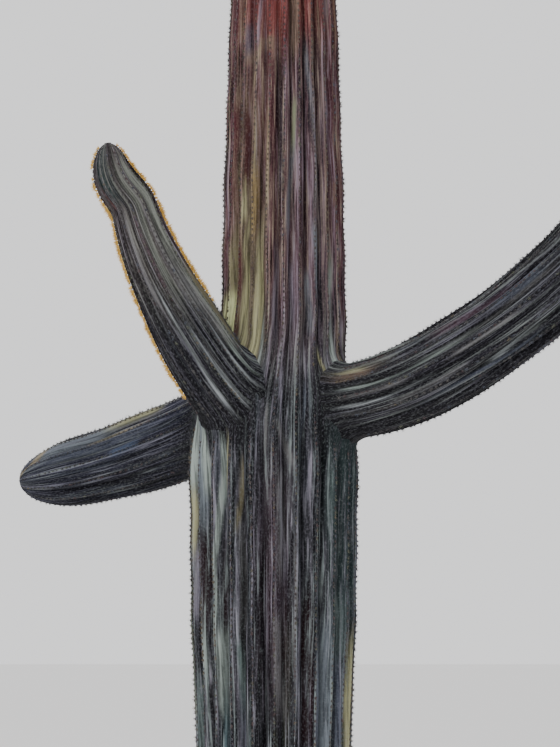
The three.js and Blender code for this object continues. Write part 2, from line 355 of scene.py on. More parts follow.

# Streaks listed: (rib at the low end, rib at the high end where it differs, half width in ribs,
# from, to, colour, strength). Each covers those before it.
# Many pale streaks here are painted highlights where light falls: the broad tan and olive layers and pale
# strokes on the trunk's upper left, and pale lines along its left and right edges. The rest are tints of the
# skin itself.
trunk.streaks = (
    (15.4, 2.0, 2.5, 3.36, TAN, 0.45),
    (15.6, 1.9, 2.38, 2.9, OLIVE, 0.5),
    (20.2, 3.2, 2.44, 3.36, SLATE, 0.24),
    (18.0, 6.0, 3.44, 3.9, BROWN, 0.55),
    (17.4, 1.1, 3.4, 3.9, BROWN, 0.75),
    (17.4, 17.6, 1.6, 3.8, 4.7, BROWN, 0.45),
    (18.0, 14.0, 3.7, 5.6, BROWN, 0.34),
    (14.6, 0.5, 3.44, 3.7, OLIVE, 0.55),
    (15.3, 0.35, 3.38, 3.5, SLATE, 0.55),
    (16.2, 16.3, 0.12, 3.42, 3.6, LILAC, 0.55),
    (15.6, 0.7, 3.365, 3.41, TAN, 0.7),
    (16.9, 0.75, 3.4, 3.45, TAN, 0.8),
    (18.7, 0.46, 3.38, 3.62, TAN, 0.85),
    (20.8, 0.12, 3.36, 3.56, TAN, 0.5),
    (14.2, 14.7, 0.3, 3.22, 3.42, TAN, 0.85),
    (15.5, 16.3, 0.14, 3.19, 3.43, BUFF, 0.75),
    (14.6, 14.5, 0.2, 2.95, 3.24, OLIVE, 0.8),
    (15.2, 15.3, 0.24, 2.88, 3.04, STRAW, 0.95),
    (16.0, 16.1, 0.3, 2.82, 3.06, OCHRE, 0.95),
    (16.1, 0.16, 3.02, 3.26, OLIVE, 0.8),
    (15.0, 15.8, 0.14, 2.72, 2.98, STRAW, 0.75),
    (15.4, 15.6, 0.12, 2.9, 3.22, TAN, 0.7),
    (16.9, 17.0, 0.12, 2.84, 3.24, BUFF, 0.75),
    (17.8, 17.7, 0.22, 2.96, 3.32, BLUE_GREY, 0.6),
    (18.65, 18.75, 0.18, 3.08, 3.26, SAGE, 0.95),
    (18.3, 18.6, 0.2, 2.84, 3.12, BLUE_GREY, 0.75),
    (20.0, 19.7, 0.16, 3.14, 3.44, BLUE_GREY, 0.65),
    (20.1, 20.2, 0.2, 2.92, 3.16, ASH, 0.65),
    (20.4, 20.0, 0.34, 2.64, 2.88, BLUE_GREY, 0.95),
    (21.0, 20.9, 0.1, 2.78, 3.36, TAN, 0.6),
    (21.9, 0.24, 2.94, 3.02, TAN, 0.8),
    (21.4, 0.26, 2.68, 2.8, SAGE, 0.85),
    (14.4, 0.9, 2.5, 2.82, STRAW, 0.8),
    (14.1, 14.5, 0.4, 2.64, 2.9, OLIVE, 0.7),
    (15.3, 15.5, 0.3, 2.54, 2.8, STRAW, 0.9),
    (15.6, 15.5, 0.38, 2.4, 2.7, STRAW, 1.0),
    (16.3, 16.5, 0.34, 2.34, 2.9, STRAW, 0.95),
    # painted highlight: a pale patch on the trunk's left edge
    (13.9, 1.2, 2.5, 2.68, MINT, 1.0),
    (16.85, 16.75, 0.14, 2.34, 2.62, FROST, 0.65),
    (21.5, 21.4, 0.32, 2.38, 2.78, FROST, 0.9),
    (21.9, 0.14, 2.36, 2.6, TAN, 0.9),
    (22.4, 0.24, 2.36, 2.6, OLIVE, 0.9),
    (20.6, 20.4, 0.12, 2.42, 2.51, STRAW, 0.8),
    (19.7, 19.5, 0.2, 2.54, 2.74, BLUE_GREY, 0.75),
    (18.5, 0.2, 2.56, 2.76, LILAC, 0.55),
    (17.5, 0.24, 2.5, 2.82, LILAC, 0.6),
    (17.6, 0.09, 2.18, 2.33, ASH, 0.7),
    (18.9, 18.1, 0.2, 2.14, 2.28, ASH, 0.75),
    (18.2, 0.08, 2.28, 2.44, LILAC, 0.5),
    (19.4, 0.12, 2.16, 2.4, SLATE, 0.6),
    # painted highlight along the trunk's left edge
    (13.2, 0.8, 2.06, 2.36, FROST, 0.9),
    (14.0, 13.9, 0.6, 1.98, 2.35, BLUE_GREY, 0.95),
    (14.4, 14.2, 0.22, 2.06, 2.28, FROST, 0.9),
    (13.0, 13.1, 0.25, 1.88, 2.1, STRAW, 0.85),
    (13.2, 0.4, 1.7, 1.92, LILAC, 0.45),
    (14.0, 13.8, 0.5, 1.54, 1.78, FROST, 0.9),
    (13.4, 0.6, 1.1, 1.54, TEAL_GREY, 0.5),
    (18.0, 1.2, 1.4, 2.2, PLUM, 0.35),
    (15.1, 15.5, 0.15, 1.88, 2.26, FROST, 0.9),
    (14.95, 15.15, 0.14, 1.56, 1.92, FROST, 0.9),
    (15.4, 0.42, 1.42, 1.68, FROST, 0.75),
    (15.4, 15.5, 0.3, 1.0, 1.5, TEAL_BLUE, 0.8),
    (15.7, 15.8, 0.1, 2.06, 2.25, STRAW, 0.85),
    (16.3, 16.4, 0.12, 1.96, 2.18, OLIVE, 0.8),
    (16.5, 0.2, 1.64, 1.98, ASH, 0.6),
    (16.3, 0.14, 1.42, 1.64, TEAL_GREY, 0.8),
    (16.9, 0.12, 1.2, 1.52, TEAL_GREY, 0.7),
    (16.4, 0.3, 1.0, 1.5, SLATE, 0.6),
    (18.55, 18.3, 0.1, 1.8, 2.1, LILAC, 0.95),
    (18.4, 18.3, 0.3, 1.8, 2.14, ASH, 0.5),
    (19.0, 0.1, 1.5, 1.94, ASH, 0.6),
    (19.3, 19.2, 0.1, 1.4, 1.84, LILAC, 0.35),
    (18.4, 18.2, 0.42, 1.42, 1.72, ASH, 0.6),
    (20.5, 20.3, 0.12, 1.58, 1.98, TEAL_GREY, 0.85),
    (21.0, 0.1, 1.96, 2.16, TEAL_GREY, 0.8),
    (22.1, 22.0, 0.1, 1.74, 1.94, TEAL_GREY, 0.65),
    (20.4, 0.4, 1.0, 1.62, SLATE, 0.85),
    (20.9, 20.8, 0.44, 1.2, 1.7, BLUE_GREY, 0.8),
    (21.6, 21.5, 0.5, 1.1, 1.66, SLATE, 0.75),
    (21.6, 0.8, 1.58, 1.78, TEAL_GREY, 0.5),
    (21.2, 21.0, 0.09, 1.2, 1.54, FROST, 0.8),
    (22.1, 22.0, 0.14, 1.1, 1.6, BLUE_GREY, 0.8),
    # painted highlight along the trunk's right edge
    (22.9, 23.0, 0.5, 1.05, 1.66, STRAW, 1.0),
    # On the sides and the back
    (0.6, 0.7, 0.2, 1.3, 1.9, STRAW, 0.55),
    (2.2, 2.1, 0.3, 1.6, 2.1, TEAL_GREY, 0.8),
    (4.2, 4.1, 0.16, 1.8, 2.2, FROST, 0.8),
    (6.4, 6.5, 0.24, 1.2, 1.7, LILAC, 0.55),
    (9.0, 9.1, 0.22, 1.3, 1.8, STRAW, 0.6),
    (10.6, 10.7, 0.3, 1.7, 2.1, BLUE_GREY, 0.8),
    (2.4, 2.3, 0.3, 2.5, 2.9, SAGE, 0.85),
    (0.4, 0.5, 0.24, 2.8, 3.3, OLIVE, 0.75),
    (5.0, 5.1, 0.26, 2.6, 3.1, OLIVE, 0.85),
    (7.1, 7.0, 0.22, 2.9, 3.4, BLUE_GREY, 0.7),
    (9.6, 9.5, 0.4, 2.45, 2.85, STRAW, 0.75),
    (11.4, 11.5, 0.3, 2.7, 3.2, TAN, 0.75),
)
left_arm.streaks = (
    (11.0, 7.0, 0.08, 0.62, NIGHT, 0.55),
    # The lichen, olive and frost streaks on the top side, ribs 0 to 1.5, are painted light: the arm's top
    # lighter where light falls from above, on the skin's own grey-green.
    (0.9, 0.8, 0.5, 0.34, 0.68, LICHEN, 0.85),
    (1.5, 0.5, 0.34, 0.66, OLIVE, 0.75),
    (1.2, 1.4, 0.26, 0.14, 0.46, FROST, 0.9),
    (11.0, 3.2, 0.5, 1.06, MOSS, 0.36),
    (10.2, 0.17, 0.54, 0.88, ASH, 0.75),
    (11.5, 11.6, 0.34, 0.56, 1.0, LICHEN, 0.85),
    (10.9, 10.8, 0.16, 0.84, 1.0, LICHEN, 0.55),
    (0.1, 0.0, 0.22, 0.5, 0.8, ASH, 0.85),
    (0.8, 0.7, 0.6, 0.66, 1.02, LICHEN, 0.9),
    (10.3, 10.45, 0.12, 0.19, 0.62, MIST, 0.95),
    (11.05, 11.0, 0.11, 0.18, 0.5, MIST, 0.9),
    (11.35, 11.3, 0.1, 0.32, 0.62, ASH, 0.7),
    (0.2, 0.1, 0.14, 0.18, 0.48, MIST, 0.8),
    (0.6, 0.5, 0.2, 0.38, 0.68, ASH, 0.9),
    (0.75, 0.6, 0.12, 0.18, 0.38, FROST, 0.9),
    (9.6, 9.5, 0.12, 0.3, 0.6, SLATE, 0.45),
    (1.2, 0.16, 0.3, 0.62, SLATE, 0.7),
    (9.4, 0.3, 0.88, 0.95, BROWN, 0.45),
)
low_arm.streaks = (
    (12.6, 7.0, 0.1, 1.1, DUSK, 0.4),
    (0.9, 0.8, 0.34, 0.94, SLATE, 0.45),
    (2.2, 0.7, 0.37, 0.61, STRAW, 0.95),
    (1.9, 1.8, 0.7, 0.54, 0.9, BLUE_GREY, 0.7),
    (2.2, 0.6, 0.34, 0.81, 0.96, BUFF, 0.85),
    (1.2, 1.0, 0.11, 0.42, 0.65, BUFF, 0.65),
    (0.1, 0.3, 0.45, 0.57, BLUE, 0.8),
    (12.0, 0.1, 0.35, 0.52, BLUE_GREY, 0.8),
    (12.6, 0.12, 0.54, 0.8, SLATE, 0.55),
    (11.2, 0.12, 0.5, 0.84, SLATE, 0.4),
)
right_arm.streaks = (
    (7.5, 8.0, 0.08, 1.4, NIGHT, 0.4),
    (5.0, 0.8, 0.14, 0.44, MOSS, 0.6),
    # painted highlight: pale strokes along the arm's top edge near the trunk
    (5.8, 5.6, 0.48, 0.14, 0.38, TAN, 0.85),
    (5.6, 5.3, 0.15, 0.13, 0.34, STRAW, 0.55),
    (5.3, 5.5, 0.22, 0.56, 0.86, PLUM, 0.6),
    (6.6, 6.5, 0.15, 0.22, 0.7, FROST, 0.8),
    (7.1, 0.12, 0.2, 0.46, ASH, 0.75),
    (7.6, 0.12, 0.18, 0.52, MIST, 0.9),
    (8.1, 8.2, 0.11, 0.22, 0.42, ASH, 0.7),
    (8.7, 8.3, 0.13, 0.66, 0.92, MIST, 0.9),
    (8.0, 0.12, 0.38, 0.62, ASH, 0.65),
    (7.3, 7.1, 0.13, 0.58, 0.82, ASH, 0.75),
    (5.9, 0.5, 0.76, 0.96, SLATE, 0.55),
    (6.5, 6.3, 0.12, 0.6, 1.0, ASH, 0.65),
    (8.9, 8.8, 0.1, 0.44, 0.84, SLATE, 0.7),
    (5.7, 0.1, 0.84, 1.3, SLATE, 0.6),
)
# Dark stretches, in the same form, which cover the streaks. Some are painted shade: on the trunk just below
# the arms and where they join it, on the arms' undersides and on the lower front of the left arm's tip. The
# rest are dark strokes of the skin's own colour.
trunk.shades = (
    (20.3, 0.6, 3.34, 3.6, SOOT, 0.45),
    (14.0, 0.5, 2.96, 3.26, MAROON, 0.95),
    (15.3, 0.18, 2.98, 3.24, MAROON, 0.75),
    (16.8, 0.8, 3.12, 3.42, MAROON, 0.7),
    (14.2, 0.9, 3.42, 3.9, MAROON, 0.75),
    (17.0, 0.4, 3.48, 3.9, MAROON, 0.5),
    (20.6, 0.3, 3.24, 3.5, SOOT, 0.5),
    (19.3, 0.26, 3.14, 3.27, SOOT, 0.65),
    (19.3, 0.5, 2.73, 3.0, SOOT, 0.95),
    (19.0, 0.24, 2.4, 2.72, SOOT, 0.6),
    (17.8, 0.34, 2.7, 3.4, SOOT, 0.8),
    (21.2, 0.4, 2.72, 3.12, SOOT, 0.6),
    (22.2, 1.4, 2.8, 3.4, MAROON, 0.5),
    (14.9, 0.32, 2.48, 2.86, MAROON, 1.0),
    (15.7, 15.8, 0.1, 2.46, 2.8, SOOT, 0.5),
    (15.9, 16.0, 0.12, 2.7, 2.84, SOOT, 0.65),
    (20.6, 0.3, 2.48, 2.72, NIGHT, 0.85),
    (20.4, 20.2, 0.22, 2.42, 2.64, NIGHT, 0.65),
    # painted shade on the trunk just below the arms and where they join it
    (16.2, 1.6, 2.2, 2.36, NIGHT, 0.95),
    (20.6, 1.6, 2.2, 2.44, NIGHT, 0.7),
    (22.0, 1.9, 2.12, 2.42, NIGHT, 0.75),
    (19.75, 0.2, 1.88, 2.3, NIGHT, 0.6),
    (15.0, 0.2, 2.0, 2.26, NIGHT, 0.8),
    (14.6, 0.6, 1.1, 1.54, NIGHT, 0.8),
    (17.0, 0.32, 1.78, 2.28, NIGHT, 0.8),
    (20.0, 0.3, 1.62, 1.92, NIGHT, 0.8),
    (22.0, 0.34, 1.82, 2.08, NIGHT, 0.8),
    (17.1, 0.3, 1.2, 1.56, NIGHT, 0.6),
    (16.1, 0.3, 1.3, 1.56, NIGHT, 0.6),
    (14.7, 0.16, 1.86, 2.2, NIGHT, 0.75),
    (14.2, 0.4, 1.66, 1.96, SOOT, 0.7),
    (15.5, 0.22, 1.66, 1.96, SOOT, 0.75),
    (17.0, 0.6, 1.3, 2.3, NIGHT, 0.65),
    (17.5, 0.4, 1.0, 1.7, NIGHT, 0.7),
    (18.5, 0.14, 1.55, 1.84, SOOT, 0.7),
    (19.7, 0.34, 1.3, 1.78, SOOT, 0.8),
    # painted shade on the trunk's right side below the right arm
    (22.0, 1.8, 1.66, 2.34, PINE, 0.7),
    (14.7, 0.2, 2.86, 3.06, MAROON, 0.8),
)
left_arm.shades = (
    # painted shade on the arm's underside
    (8.8, 1.1, 0.14, 0.9, NIGHT, 0.75),
    (10.0, 9.8, 0.14, 0.2, 0.9, NIGHT, 0.7),
    (10.7, 10.65, 0.14, 0.18, 0.94, NIGHT, 0.75),
    (11.35, 11.2, 0.12, 0.18, 0.6, NIGHT, 0.7),
    (11.1, 0.14, 0.56, 0.9, NIGHT, 0.6),
    (0.35, 0.3, 0.1, 0.18, 0.8, NIGHT, 0.6),
    # painted shade on the lower front of the tip
    (10.0, 1.2, 0.89, 1.07, PINE, 0.8),
    (11.05, 11.0, 0.12, 0.6, 0.84, PLUM, 0.6),
)
low_arm.shades = (
    (12.6, 0.9, 0.18, 0.54, NIGHT, 0.5),
    (12.0, 0.3, 0.76, 0.96, NIGHT, 0.45),
    # painted shade on the arm's underside
    (10.8, 2.2, 0.14, 0.95, NIGHT, 0.65),
)
right_arm.shades = (
    (8.5, 2.6, 0.12, 0.5, NIGHT, 0.35),
    # painted shade on the arm's underside
    (10.8, 2.0, 0.14, 1.4, NIGHT, 0.8),
    (6.8, 2.6, 0.92, 1.4, NIGHT, 0.5),
    (5.8, 0.6, 0.34, 0.58, NIGHT, 0.65),
    (7.0, 0.3, 0.8, 1.0, NIGHT, 0.55),
    (7.4, 0.16, 0.2, 0.7, NIGHT, 0.6),
    (6.6, 6.5, 0.14, 0.24, 0.9, NIGHT, 0.5),
)

# Streaks dealt out by chance, and how any streak runs
WARM_TINTS = (OLIVE, TAN, OCHRE, PLUM, SAGE, BLUE_GREY, MAROON, ASH)
COOL_TINTS = (SLATE, TEAL_GREY, BLUE_GREY, ASH, SAGE, LILAC, NIGHT, SLATE)
DUSKY_TINTS = (SLATE, MOSS, BLUE_GREY, ASH, NIGHT, NIGHT)
CHANCE_LENGTHS = (0.15, 0.6)
FIRST_GAP = 0.4
CHANCE_GAPS = (0.05, 0.5)
CHANCE_OFFSET, CHANCE_SLANT = 0.25, 0.2  # of a rib's width
CHANCE_HALF_WIDTHS = (0.06, 0.20)  # of a rib's width
CHANCE_STRENGTHS = (0.3, 0.75)
UNDER_LAID_STREAKS = 0.35  # what is left of a chance streak's strength there
LAID_HEIGHTS = (1.1, 3.6)  # on the trunk
LAID_LENGTH = 1.5  # on an arm
STREAK_WANDER = 0.05  # of a rib's width
STREAK_WAVES = (0.2, 0.7)
STREAK_SEEDS = 1000
STREAK_FADE = 0.22  # of its length
STREAK_CORE, STREAK_EDGE = 0.35, 0.9  # of its half width
SOFT_EDGE = 0.025  # of a rib's width


def laid_by_hand(stem, rib, s):
    """Whether a place is on the side, and at the height, that the listed streaks cover."""
    _, across, over, _ = stem.frames(np.array([s]))
    angle = TURN * rib / stem.ribs
    covered = LAID_HEIGHTS[0] < s < LAID_HEIGHTS[1] if stem is trunk else s < LAID_LENGTH
    return covered and across[0, 1] * math.cos(angle) + over[0, 1] * math.sin(angle) < 0.0


def streaks_of(stem):
    """Streaks dealt out by chance all over the stem, fainter under the listed ones."""
    rng = np.random.default_rng(stem.seed + 5)
    dealt = []
    for rib in np.arange(0.0, stem.ribs, 0.5):
        s = stem.begins + rng.uniform(0.0, FIRST_GAP)
        while s < stem.length:
            long = rng.uniform(*CHANCE_LENGTHS)
            middle = s + long / 2.0
            warm = rng.random() < along(stem.warmth, middle)
            tints = WARM_TINTS if warm else COOL_TINTS if stem is trunk else DUSKY_TINTS
            colour = tints[rng.integers(len(tints))]
            low, wide = rib + rng.uniform(-CHANCE_OFFSET, CHANCE_OFFSET), rng.uniform(*CHANCE_HALF_WIDTHS)
            covered = laid_by_hand(stem, rib, middle)
            most = rng.uniform(*CHANCE_STRENGTHS) * (UNDER_LAID_STREAKS if covered else 1.0)
            high = low + rng.uniform(-CHANCE_SLANT, CHANCE_SLANT)
            dealt.append((low, high, wide, s, s + long, colour, most))
            s += long + rng.uniform(*CHANCE_GAPS)
    return dealt + list(stem.streaks)


def lay(stem, s, places, laid):
    """The colour of the streaks at each point of the skin, and their strength. The places are in ribs."""
    colour = np.zeros((*places.shape, 3))
    strength = np.zeros(places.shape)
    for number, (low, *rest) in enumerate(laid):
        high, wide, begin, end, tone, most = rest if len(rest) == 6 else (low, *rest)
        share = np.clip((s - begin) / (end - begin), 0.0, 1.0)
        wander = STREAK_WANDER * waves(STREAK_SEEDS + number, 1, s, *STREAK_WAVES)[:, 0]
        middle = low + (high - low) * share + wander
        fade = STREAK_FADE * (end - begin)
        lengthwise = eased(s, begin - fade / 2, begin + fade) * (1.0 - eased(s, end - fade, end + fade / 2))
        apart = np.abs((places - middle[:, None] + stem.ribs / 2.0) % stem.ribs - stem.ribs / 2.0)
        crosswise = 1.0 - eased(apart, STREAK_CORE * wide, STREAK_EDGE * wide + SOFT_EDGE)
        here = most * lengthwise[:, None] * crosswise
        colour = colour * (1.0 - here[..., None]) + here[..., None] * tone
        strength = 1.0 - (1.0 - strength) * (1.0 - here)
    return colour / np.maximum(strength, 1e-6)[..., None], strength


# Skins
def store(mesh, name, values):
    """Keeps a number or a vector for each point."""
    kind, field = ("FLOAT", "value") if values.ndim == 1 else ("FLOAT_VECTOR", "vector")
    mesh.attributes.new(name, kind, "POINT").data.foreach_set(field, values.astype(np.float32).ravel())


TEXTURE_MAP = "OFBake"  # one turn by one length, for a texture of the finished skin
FOOT_STRIP = 0.03  # of the map, kept for the cut end
FOOT_DISC = 0.45  # of that strip, the radius of the cut end's disc
TIP_STRIP_BEGINS = 0.995  # of the rest


def skin_faces(rows, columns):
    """The rings' quads, and the fans that close tip and foot, whose middles are the last two points."""
    ring, column = np.meshgrid(np.arange(rows - 1), np.arange(columns), indexing="ij")
    low, low_next = ring * columns + column, ring * columns + (column + 1) % columns
    quads = np.stack([low, low_next, low_next + columns, low + columns], axis=-1).reshape(-1, 4)
    c = np.arange(columns)
    after = (c + 1) % columns
    last, tip_at = (rows - 1) * columns, rows * columns
    top = np.stack([last + c, last + after, np.full(columns, tip_at)], axis=1)
    bottom = np.stack([after, c, np.full(columns, tip_at + 1)], axis=1)
    return quads.tolist() + top.tolist() + bottom.tolist()


def skin_map(s, columns):
    """Where each corner of those faces lies on the texture map."""
    u = np.arange(columns + 1) / columns
    v = FOOT_STRIP + (1.0 - FOOT_STRIP) * (s - s[0]) / (s[-1] - s[0]) * TIP_STRIP_BEGINS
    ring, column = np.meshgrid(np.arange(len(s) - 1), np.arange(columns), indexing="ij")
    corners = [(column, ring), (column + 1, ring), (column + 1, ring + 1), (column, ring + 1)]
    quads = np.stack([np.stack([u[across], v[up]], axis=-1) for across, up in corners], axis=-2)
    tip_v = np.tile([v[-1], v[-1], 1.0], (columns, 1))
    top = np.stack([np.stack([u[:-1], u[1:], (u[:-1] + u[1:]) / 2.0], axis=1), tip_v], axis=-1)
    rim = np.stack([np.cos(TURN * u), np.sin(TURN * u)], axis=1)
    disc = FOOT_DISC * FOOT_STRIP
    bottom = disc + disc * np.stack([rim[1:], rim[:-1], np.zeros((columns, 2))], axis=1)
    return np.concatenate([part.reshape(-1, 2) for part in (quads, top, bottom)])


def make_skin(stem):
    s = stem.stations()
    ribs = np.repeat(np.arange(stem.ribs), len(ACROSS_A_RIB))
    t = np.tile(ACROSS_A_RIB, stem.ribs)
    points, angle, _, near_seam = surface(stem, s, ribs, t)
    rows, columns = angle.shape
    tip = points[-1].mean(axis=0) + TIP_RISE * TIP_RADIUS * stem.frames(s[-1:])[3][0]
    foot = points[0].mean(axis=0)
    mesh = bpy.data.meshes.new(stem.name + "_skin")
    mesh.from_pydata(np.concatenate([points.reshape(-1, 3), [tip, foot]]), [], skin_faces(rows, columns))

    places = angle * stem.ribs / TURN
    streak, streak_strength = lay(stem, s, places, streaks_of(stem))
    if stem is not trunk:
        streak_strength *= 1.0 - SEAM_FADES_STREAKS * near_seam**3
    shade, shade_strength = lay(stem, s, places, stem.shades)
    reference = float(np.mean(along(stem.radius, s)))

    def all_round(values):
        return np.repeat(values[:, None], columns, axis=1)

    fields = {
        "wrapped": np.stack(
            [reference * np.cos(angle), reference * np.sin(angle), all_round(s) + stem.seed], axis=-1),
        "groove": np.repeat(np.abs(2.0 * t)[None], rows, axis=0),
        "age": all_round(along(stem.age, s)),
        # painted shade near the seams between arms and trunk, weaker higher up
        "seam": near_seam * (1.0 - (1.0 - CLEAR_SEAM) * eased(points[..., 2], *SEAM_CLEARS)),
        "warmth": all_round(along(stem.warmth, s)),
        "streak": streak,
        "streak_strength": streak_strength,
        "shade": shade,
        "shade_strength": shade_strength,
    }
    for name, values in fields.items():
        flat = values.reshape(rows * columns, *values.shape[2:])
        store(mesh, name, np.concatenate([flat, [flat[-columns], flat[0]]]))
    uv = skin_map(s, columns)
    mesh.uv_layers.new(name=TEXTURE_MAP).uv.foreach_set("vector", uv.astype(np.float32).ravel())

    mesh.shade_smooth()
    ends = np.empty(len(mesh.edges) * 2, np.int32)
    mesh.edges.foreach_get("vertices", ends)
    round_the_cut = (ends.reshape(-1, 2) < columns).all(axis=1)
    mesh.attributes.new("sharp_edge", "BOOLEAN", "EDGE").data.foreach_set("value", round_the_cut)
    return add_object(mesh.name, mesh)


# Node helpers
def add(tree, kind, inputs=None, **settings):
    node = tree.nodes.new(kind)
    for key, value in settings.items():
        setattr(node, key, value)
    for key, value in (inputs or {}).items():
        if isinstance(value, bpy.types.NodeSocket):
            tree.links.new(value, node.inputs[key])
        else:
            node.inputs[key].default_value = value
    return node


def sum_up(tree, operation, a, b=0.0, c=0.0):
    return add(tree, "ShaderNodeMath", {0: a, 1: b, 2: c}, operation=operation).outputs[0]


def product(tree, a, b):
    return sum_up(tree, "MULTIPLY", a, b)


def vector_sum(tree, operation, a, b):
    return add(tree, "ShaderNodeVectorMath", {0: a, 1: b}, operation=operation).outputs[0]


def scaled(tree, vector, factor):
    return add(tree, "ShaderNodeVectorMath", {0: vector, "Scale": factor}, operation="SCALE").outputs[0]


def combined(tree, x, y, z):
    return add(tree, "ShaderNodeCombineXYZ", {0: x, 1: y, 2: z}).outputs[0]


def blended(tree, factor, a, b):
    return add(tree, "ShaderNodeMix", {0: factor, 6: a, 7: b}, data_type="RGBA").outputs[2]


def ranged(tree, value, low, high, to_low=0.0, to_high=1.0):
    inputs = {"Value": value, "From Min": low, "From Max": high, "To Min": to_low, "To Max": to_high}
    return add(tree, "ShaderNodeMapRange", inputs, interpolation_type="SMOOTHSTEP").outputs["Result"]


def fine_noise(tree, place, detail, roughness=0.5):
    inputs = {"Vector": place, "Scale": 1.0, "Detail": detail, "Roughness": roughness}
    return add(tree, "ShaderNodeTexNoise", inputs).outputs[0]


def read(tree, name, output="Fac"):
    return add(tree, "ShaderNodeAttribute", attribute_name=name).outputs[output]


def sockets(tree, ins, outs):
    """Gives a node group its named inputs, each with a default, and its named outputs."""
    for name, (kind, default) in ins.items():
        socket = tree.interface.new_socket(name, in_out="INPUT", socket_type="NodeSocket" + kind)
        if default is not None:
            socket.default_value = default
    for name, kind in outs.items():
        tree.interface.new_socket(name, in_out="OUTPUT", socket_type="NodeSocket" + kind)
    return tree.nodes.new("NodeGroupInput").outputs, tree.nodes.new("NodeGroupOutput").inputs


# Effects that several finishes share
STREAK_ROUGHNESS = 0.6
CREASE_STRETCH = (22.0, 22.0, 190.0)
LINE_STRETCH = (210.0, 210.0, 14.0)
BARK_PLATES = 55.0  # to a metre
PLATE_SEAM = 0.12  # of a plate


def make_streak_group():
    """Noise drawn out along the stem, from 0 to 1."""
    tree = bpy.data.node_groups.new("lengthwise streaks", "ShaderNodeTree")
    given, made = sockets(
        tree,
        {"Place": ("Vector", None), "Across": ("Float", 60.0), "Along": ("Float", 4.0),
         "Detail": ("Float", 4.0), "Low": ("Float", 0.35), "High": ("Float", 0.65)},
        {"Streaks": "Float"},
    )
    stretch = combined(tree, given["Across"], given["Across"], given["Along"])
    field = fine_noise(tree, vector_sum(tree, "MULTIPLY", given["Place"], stretch), given["Detail"],
                       STREAK_ROUGHNESS)
    tree.links.new(ranged(tree, field, given["Low"], given["High"]), made["Streaks"])
    return tree


def make_wrinkle_group():
    """Height of the skin's fine relief: creases across the stem, lengthwise lines and plates of bark."""
    tree = bpy.data.node_groups.new("skin relief", "ShaderNodeTree")
    given, made = sockets(
        tree,
        {"Place": ("Vector", None), "Creases": ("Float", 0.5), "Lines": ("Float", 0.5),
         "Cork": ("Float", 0.0)},
        {"Height": "Float"},
    )
    place = given["Place"]
    creases = fine_noise(tree, vector_sum(tree, "MULTIPLY", place, CREASE_STRETCH), 3.0)
    lines = fine_noise(tree, vector_sum(tree, "MULTIPLY", place, LINE_STRETCH), 3.0)
    inputs = {"Vector": place, "Scale": BARK_PLATES}
    cells = add(tree, "ShaderNodeTexVoronoi", inputs, feature="DISTANCE_TO_EDGE")
    plates = ranged(tree, cells.outputs[0], 0.0, PLATE_SEAM)
    height = product(tree, creases, given["Creases"])
    height = sum_up(tree, "MULTIPLY_ADD", lines, given["Lines"], height)
    height = sum_up(tree, "MULTIPLY_ADD", plates, given["Cork"], height)
    tree.links.new(height, made["Height"])
    return tree


STREAKS = make_streak_group()
RELIEF = make_wrinkle_group()


def grouped(tree, group, *values):
    """What a group puts out for these values of its inputs, in their order."""
    return add(tree, "ShaderNodeGroup", dict(enumerate(values)), node_tree=group).outputs[0]


def new_material(name):
    material = bpy.data.materials.new(name)
    material.use_nodes = True
    tree = material.node_tree
    return material, tree, tree.nodes["Principled BSDF"]


# Noise drawn out along the stem: how fine it is across and along, its detail, and the range it is spread from
BROAD = (14.0, 1.1, 3.0, 0.32, 0.68)
BRUSHED = (115.0, 3.0, 4.0, 0.38, 0.64)
HAIRS = (280.0, 8.0, 3.0, 0.40, 0.64)
SPECKS = (330.0, 130.0, 2.0, 0.46, 0.74)
HUES = (100.0, 2.2, 3.0, 0.42, 0.60)
STROKES = (150.0, 2.0, 2.0, 0.54, 0.66)
BARK_GRAIN = (60.0, 14.0, 5.0, 0.3, 0.7)
ASIDE = (3.7, 1.9, 5.3)  # where the hues and strokes are read, apart from the rest
BROAD_SHARE = 0.25  # of the skin's tone
FRAYED = 0.35  # how far noise frays a groove's edge, and the bark's
# painted shade near the seams between arms and trunk
PAINTED_SEAM_SHADE = 0.85
# painted shade down in the grooves, and how much less of it lies under a laid streak
PAINTED_GROOVE_SHADE, LESS_IN_STREAKS = 0.40, 0.28
SPECK_STRENGTH = 0.20
SKIN_SHINE = 0.04
SKIN_CREASES, SKIN_LINES = 0.5, 0.6
RELIEF_STRENGTH, RELIEF_DISTANCE = 0.55, 0.0035

# Where each look comes in, as a range of the noise or field that it follows, and its amount at either end
BODY_RANGE = (0.22, 0.58)
PALE_RANGE = (0.54, 0.96, 0.0, 0.8)
STROKE_RANGE = (0.0, 1.0, 0.40, 0.95)
STREAK_RANGE = (0.10, 0.60, 0.40, 1.0)
GROOVE_RANGE = (0.45, 0.90)
SHADE_RANGE = (0.3, 0.95, 1.0, 0.35)
BARK_RANGE = (0.45, 0.95)
ROUGHNESS_RANGE = (0.0, 1.0, 0.80, 0.62)


